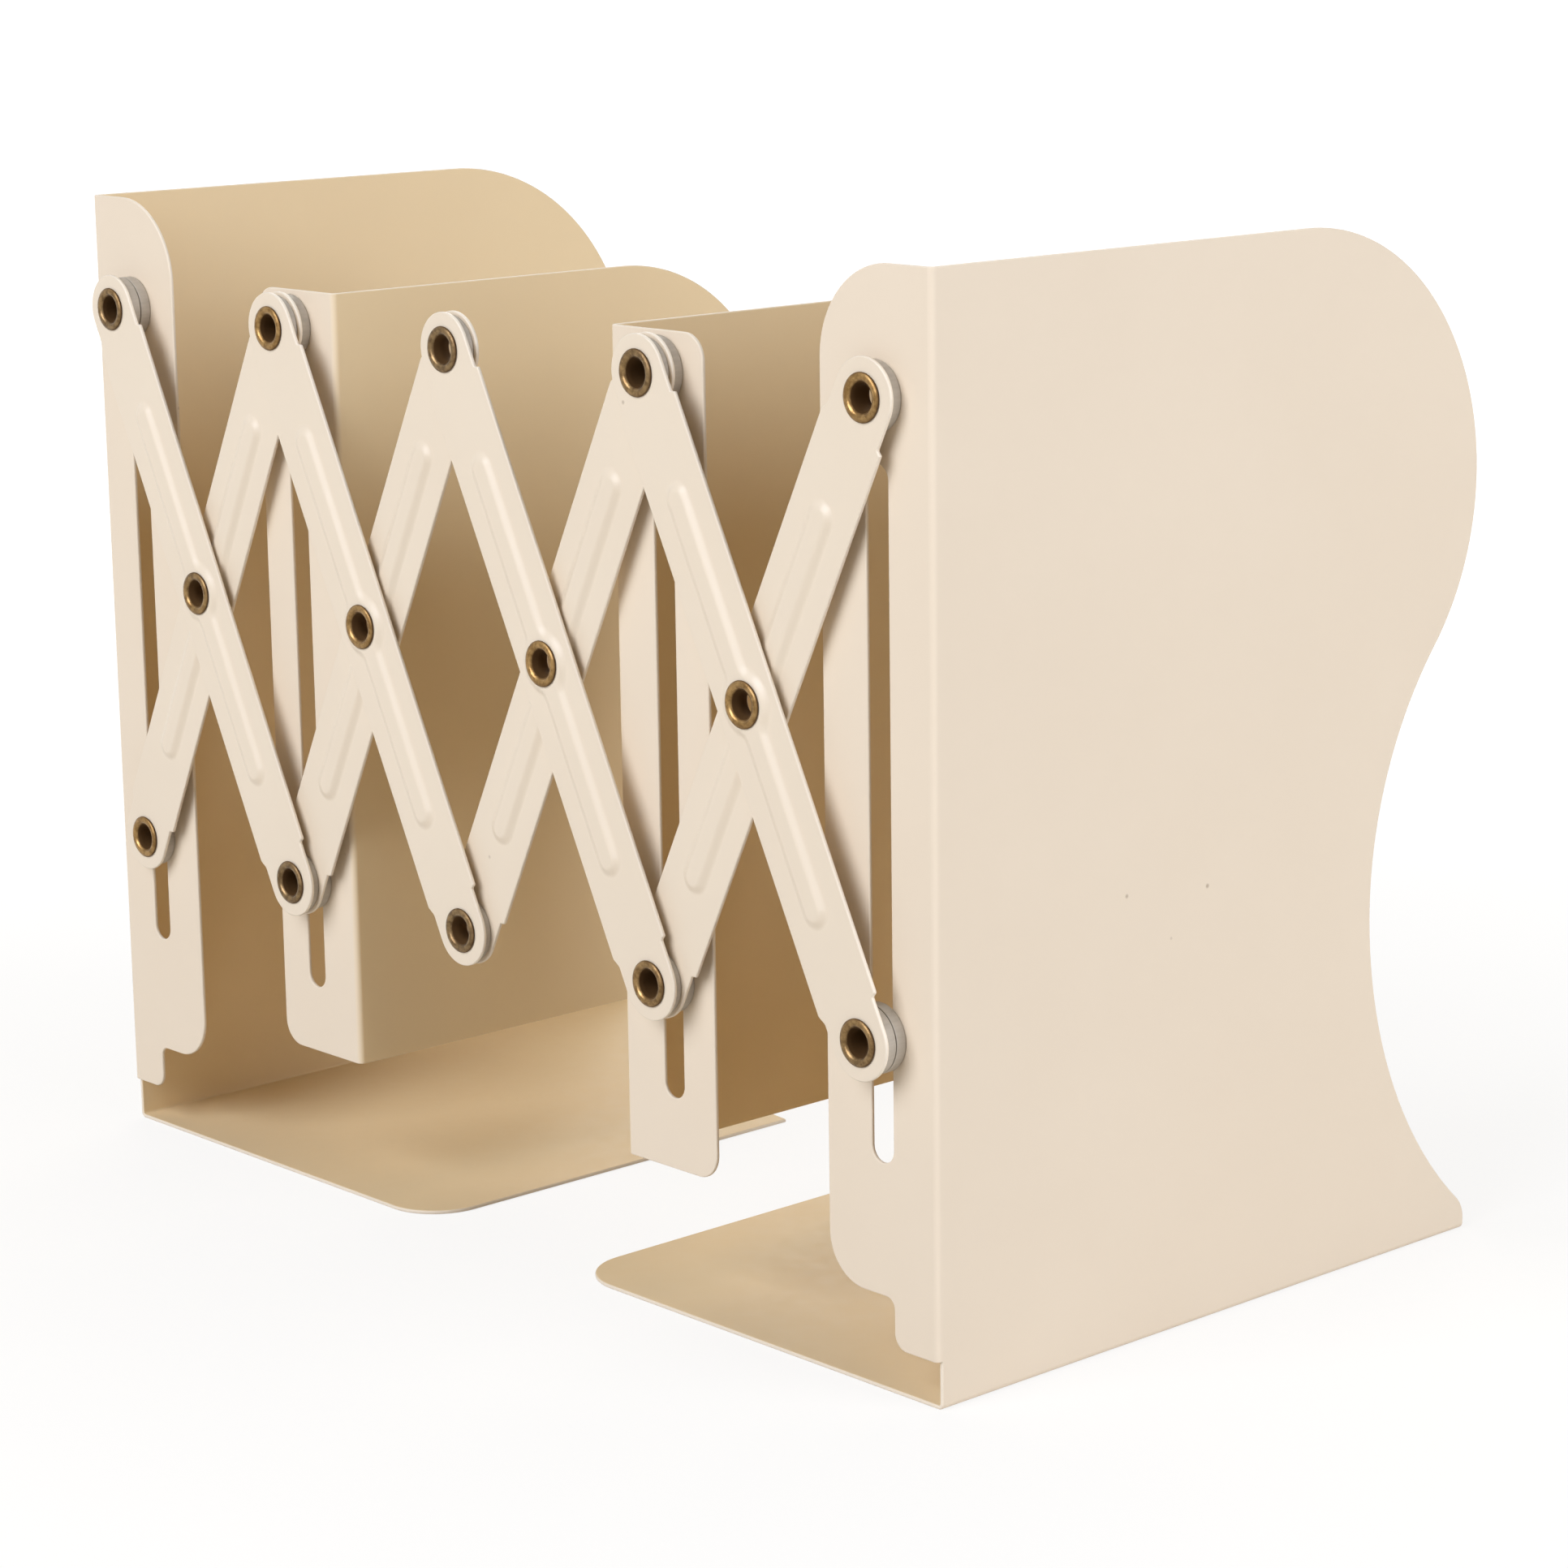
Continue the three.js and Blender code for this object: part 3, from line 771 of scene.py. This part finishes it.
def washer(node, material):
    low, high = node_box(node)
    centre = (low + high) / 2
    outer = (high.x - low.x) / 2
    soft = WASHER_ROUNDING
    middle = soft * WASHER_ROUNDING_MIDDLE
    profile = [
        (WASHER_BORE, low.y, 0),
        (outer - soft, low.y, 0),
        (outer - middle, low.y + middle, 0),
        (outer, low.y + soft, 0),
        (outer, high.y - soft, 0),
        (outer - middle, high.y - middle, 0),
        (outer - soft, high.y, 0),
        (WASHER_BORE, high.y, 0),
    ]
    stand_for(turned_piece(f"{node}_ring", centre, profile), node, material)


# Materials

def new_material(name):
    material = bpy.data.materials.new(name)
    material.use_nodes = True
    tree = material.node_tree
    return material, tree, tree.nodes["Principled BSDF"]


def add_node(tree, kind, **values):
    node = tree.nodes.new(kind)
    for key, value in values.items():
        setattr(node, key, value)
    return node


def noise(tree, scale, detail=3.0, roughness=0.5, stretch=(1, 1, 1)):
    """Noise in the piece's own space, scale in lumps per metre."""
    place = add_node(tree, "ShaderNodeTexCoord")
    mapping = add_node(tree, "ShaderNodeMapping")
    mapping.inputs["Scale"].default_value = stretch
    texture = add_node(tree, "ShaderNodeTexNoise")
    texture.inputs["Scale"].default_value = scale
    texture.inputs["Detail"].default_value = detail
    texture.inputs["Roughness"].default_value = roughness
    tree.links.new(place.outputs["Object"], mapping.inputs["Vector"])
    tree.links.new(mapping.outputs["Vector"], texture.inputs["Vector"])
    return texture.outputs["Fac"]


def ramp(tree, source, stops):
    """A colour or grey ramp, stops being (position, colour)."""
    node = add_node(tree, "ShaderNodeValToRGB")
    elements = node.color_ramp.elements
    while len(elements) < len(stops):
        elements.new(0.5)
    for element, (position, colour) in zip(elements, stops):
        element.position = position
        element.color = (*colour, 1)
    tree.links.new(source, node.inputs["Fac"])
    return node.outputs["Color"]


def mixed(tree, share, first, second):
    """Two colours mixed by a share. Each is a socket or a plain colour."""
    node = add_node(tree, "ShaderNodeMix", data_type="RGBA")
    for socket, value in zip((node.inputs[6], node.inputs[7]), (first, second)):
        if isinstance(value, tuple):
            socket.default_value = (*value, 1)
        else:
            tree.links.new(value, socket)
    tree.links.new(share, node.inputs[0])
    return node.outputs[2]


def ranged(tree, source, low, high, to_low, to_high):
    node = add_node(tree, "ShaderNodeMapRange")
    values = (("From Min", low), ("From Max", high), ("To Min", to_low), ("To Max", to_high))
    for key, value in values:
        node.inputs[key].default_value = value
    tree.links.new(source, node.inputs["Value"])
    return node.outputs["Result"]


def attribute(tree, name):
    return add_node(tree, "ShaderNodeAttribute", attribute_name=name).outputs["Fac"]


def bumped(tree, shader, height, strength, distance):
    node = add_node(tree, "ShaderNodeBump")
    node.inputs["Strength"].default_value = strength
    node.inputs["Distance"].default_value = distance
    tree.links.new(height, node.inputs["Height"])
    tree.links.new(node.outputs["Normal"], shader.inputs["Normal"])


def powder_coat(name, outer, inner_shade, edge, gloss, roughness):
    """Cream powder coat: faint clouds of tone, an orange peel skin and a few specks caught in
    the paint, with painted shade, a deeper cream on faces inside the cells, and a painted
    highlight, paler rounded edges."""
    material, tree, shader = new_material(name)
    # Painted shade: faces inside the cells take the deeper cream.
    faces = mixed(tree, attribute(tree, "inner_shade"), outer, inner_shade)
    clouds = ranged(tree, noise(tree, CLOUD_SCALE, 4), 0.35, 0.65, 0, CLOUD_SHARE)
    clouded = mixed(tree, clouds, faces, CLOUD_TONE)
    # Painted highlight: the rounded edges turn to the paler edge cream.
    highlighted_edges = mixed(tree, ranged(tree, attribute(tree, "painted_highlight_shade_and_patina"), 0.2, 1, 0, 1), clouded, edge)
    cells = add_node(tree, "ShaderNodeTexVoronoi")
    cells.inputs["Scale"].default_value = SPECK_SCALE
    place = add_node(tree, "ShaderNodeTexCoord")
    tree.links.new(place.outputs["Object"], cells.inputs["Vector"])
    specks = ranged(tree, cells.outputs["Distance"], SPECK_CORE, SPECK_RIM, SPECK_SHARE, 0)
    coated = mixed(tree, specks, highlighted_edges, SPECK_TONE)
    tree.links.new(coated, shader.inputs["Base Color"])
    shader.inputs["Specular IOR Level"].default_value = gloss
    smooth = roughness - DULL_SPREAD
    rough = roughness + DULL_SPREAD
    dull = ranged(tree, noise(tree, DULL_SCALE, 2), 0.3, 0.7, smooth, rough)
    tree.links.new(dull, shader.inputs["Roughness"])
    bumped(tree, shader, noise(tree, PEEL_SCALE, 2), PEEL_STRENGTH, PEEL_DEPTH)
    return material


def aged_brass():
    """Brass, golden in some places and browner in others, with a dull patina in its bore and a dark
    outer rim that is partly patina and partly painted shade.
    """
    material, tree, shader = new_material("aged_brass")
    grain = noise(tree, BRASS_GRAIN_SCALE, 5, 0.65)
    golden = ramp(tree, grain, [(0.38, BRASS_GOLDEN[0]), (0.62, BRASS_GOLDEN[1])])
    brown = ramp(tree, grain, [(0.38, BRASS_BROWN[0]), (0.62, BRASS_BROWN[1])])
    age = ranged(tree, noise(tree, BRASS_AGE_SCALE, 1), 0.4, 0.6, 0, 1)
    metal = mixed(tree, age, golden, brown)
    # Patina in the bore; at the outer rim, partly painted shade.
    patina_and_rim_shade = attribute(tree, "painted_highlight_shade_and_patina")
    worn = mixed(tree, patina_and_rim_shade, metal, PATINA_AND_RIM_SHADE_TONE)
    rough = ranged(tree, patina_and_rim_shade, 0, 1, BRASS_ROUGHNESS, PATINA_AND_RIM_SHADE_ROUGHNESS)
    tree.links.new(worn, shader.inputs["Base Color"])
    tree.links.new(ranged(tree, patina_and_rim_shade, 0, 1, 1, 0), shader.inputs["Metallic"])
    tree.links.new(rough, shader.inputs["Roughness"])
    shader.inputs["Specular IOR Level"].default_value = BRASS_GLOSS
    bumped(tree, shader, noise(tree, BRASS_PIT_SCALE, 3), BRASS_PIT_STRENGTH, BRASS_PIT_DEPTH)
    return material


def grey_plastic():
    """Grey washers, faintly streaked across their edge."""
    material, tree, shader = new_material("grey_plastic")
    streaks = noise(tree, STREAK_SCALE, 2, stretch=STREAK_STRETCH)
    tone = ramp(tree, streaks, [(0.3, PLASTIC_TONES[0]), (0.7, PLASTIC_TONES[1])])
    tree.links.new(tone, shader.inputs["Base Color"])
    shader.inputs["Roughness"].default_value = PLASTIC_ROUGHNESS
    bumped(tree, shader, streaks, STREAK_STRENGTH, STREAK_DEPTH)
    return material


# Stage

def background_rays(tree):
    """1 for the rays that see the background: the camera's, reflected and passed ones."""
    path = add_node(tree, "ShaderNodeLightPath")
    total = path.outputs["Is Camera Ray"]
    for ray in ("Is Glossy Ray", "Is Transmission Ray"):
        larger = add_node(tree, "ShaderNodeMath", operation="MAXIMUM")
        tree.links.new(total, larger.inputs[0])
        tree.links.new(path.outputs[ray], larger.inputs[1])
        total = larger.outputs[0]
    return total


def white_world():
    """A faint warm room light on the object, and plain white behind it."""
    world = bpy.data.worlds.new("studio")
    bpy.context.scene.world = world
    world.use_nodes = True
    tree = world.node_tree
    room = tree.nodes["Background"]
    room.inputs["Color"].default_value = (*ROOM_COLOUR, 1)
    room.inputs["Strength"].default_value = ROOM_STRENGTH
    white = add_node(tree, "ShaderNodeBackground")
    white.inputs["Color"].default_value = (1, 1, 1, 1)
    mix = add_node(tree, "ShaderNodeMixShader")
    tree.links.new(background_rays(tree), mix.inputs[0])
    tree.links.new(room.outputs[0], mix.inputs[1])
    tree.links.new(white.outputs[0], mix.inputs[2])
    tree.links.new(mix.outputs[0], tree.nodes["World Output"].inputs["Surface"])


def floor_material():
    """A pale floor that keeps the object's shadow and turns to plain white away from it."""
    material, tree, shader = new_material("pale_floor")
    shader.inputs["Base Color"].default_value = (*FLOOR_COLOUR, 1)
    shader.inputs["Roughness"].default_value = 1
    shader.inputs["Specular IOR Level"].default_value = 0
    glow = add_node(tree, "ShaderNodeEmission")
    glow.inputs["Strength"].default_value = FLOOR_GLOW
    place = add_node(tree, "ShaderNodeTexCoord")
    length = add_node(tree, "ShaderNodeVectorMath", operation="LENGTH")
    tree.links.new(place.outputs["Object"], length.inputs[0])
    reach = length.outputs["Value"]
    away = ranged(tree, reach, FLOOR_SHADOW_REACH, FLOOR_WHITE_REACH, FLOOR_GLOW_SHARE, 1)
    share = add_node(tree, "ShaderNodeMath", operation="MULTIPLY")
    tree.links.new(away, share.inputs[0])
    tree.links.new(background_rays(tree), share.inputs[1])
    mix = add_node(tree, "ShaderNodeMixShader")
    tree.links.new(share.outputs[0], mix.inputs[0])
    tree.links.new(shader.outputs[0], mix.inputs[1])
    tree.links.new(glow.outputs[0], mix.inputs[2])
    tree.links.new(mix.outputs[0], tree.nodes["Material Output"].inputs["Surface"])
    return material


def add_floor():
    side = FLOOR_HALF_SIDE
    corners = [(-side, -side, 0), (side, -side, 0), (side, side, 0), (-side, side, 0)]
    mesh = bpy.data.meshes.new("floor")
    mesh.from_pydata(corners, [], [(0, 1, 2, 3)])
    floor = bpy.data.objects.new("floor", mesh)
    bpy.context.scene.collection.objects.link(floor)
    floor.location.z = -FLOOR_DROP
    floor.data.materials.append(floor_material())


def direction(azimuth, elevation):
    """From the object towards a viewer or lamp: azimuth 0 is in front, 90 to the right."""
    a = math.radians(azimuth)
    e = math.radians(elevation)
    return Vector((math.sin(a) * math.cos(e), -math.cos(a) * math.cos(e), math.sin(e)))


def add_lamp(name, azimuth, elevation, watts, colour):
    data = bpy.data.lights.new(name, "AREA")
    data.shape = "SQUARE"
    data.size = LAMP_SIDE
    data.energy = watts
    data.color = colour
    lamp = bpy.data.objects.new(name, data)
    back = direction(azimuth, elevation)
    lamp.location = Vector((0, 0, LAMP_AIM_HEIGHT)) + back * LAMP_DISTANCE
    lamp.rotation_mode = "QUATERNION"
    lamp.rotation_quaternion = back.to_track_quat("Z", "Y")
    bpy.context.scene.collection.objects.link(lamp)


def add_camera():
    left, _ = node_box("left_end_plate")
    target = Vector((left.x + TARGET_FROM_LEFT, left.y, TARGET_HEIGHT))
    back = direction(CAMERA_AZIMUTH, CAMERA_ELEVATION)
    azimuth = math.radians(CAMERA_AZIMUTH)
    level = Vector((math.cos(azimuth), math.sin(azimuth), 0))
    roll = Matrix.Rotation(math.radians(CAMERA_ROLL), 3, back)
    right = roll @ level
    up = back.cross(right)
    data = bpy.data.cameras.new("camera")
    data.sensor_width = SENSOR
    data.lens = FOCAL_PIXELS * SENSOR / IMAGE_SIDE
    data.clip_start = 0.01
    data.clip_end = 100
    camera = bpy.data.objects.new("camera", data)
    turn = Matrix((right, up, back)).transposed()
    camera.matrix_world = Matrix.Translation((target + back * CAMERA_DISTANCE) * MM) @ turn.to_4x4()
    bpy.context.scene.collection.objects.link(camera)
    bpy.context.scene.camera = camera


def add_studio():
    bpy.context.scene.view_settings.view_transform = "Standard"
    white_world()
    add_floor()
    for lamp in LAMPS:
        add_lamp(*lamp)
    add_camera()


def build_object():
    plate_coat = powder_coat(
        "cream_plate", PLATE_CREAM, INNER_SHADE_CREAM, PLATE_EDGE_HIGHLIGHT, PLATE_GLOSS, PLATE_ROUGHNESS,
    )
    bar_coat = powder_coat(
        "cream_bar", BAR_CREAM, INNER_SHADE_CREAM, BAR_EDGE_HIGHLIGHT, BAR_GLOSS, BAR_ROUGHNESS,
    )
    brass = aged_brass()
    plastic = grey_plastic()
    end_plate("left_end_plate", 1, 1, plate_coat)
    end_plate("right_end_plate", CELLS + 1, -1, plate_coat)
    divider("divider_left", 2, -1, plate_coat)
    divider("divider_right", CELLS, 1, plate_coat)
    for cell in range(1, CELLS + 1):
        after = cell + 1
        middle = f"middle_eyelet_{cell}"
        bar(f"front_bar_{cell}", f"top_eyelet_{cell}", f"bottom_eyelet_{after}", middle, bar_coat)
        bar(f"back_bar_{cell}", f"top_eyelet_{after}", f"bottom_eyelet_{cell}", middle, bar_coat)
    for node in sorted(frame["nodes"]):
        if "eyelet" in node:
            eyelet(node, brass)
        elif "washer" in node or "spacer" in node:
            washer(node, plastic)


add_studio()
build_object()
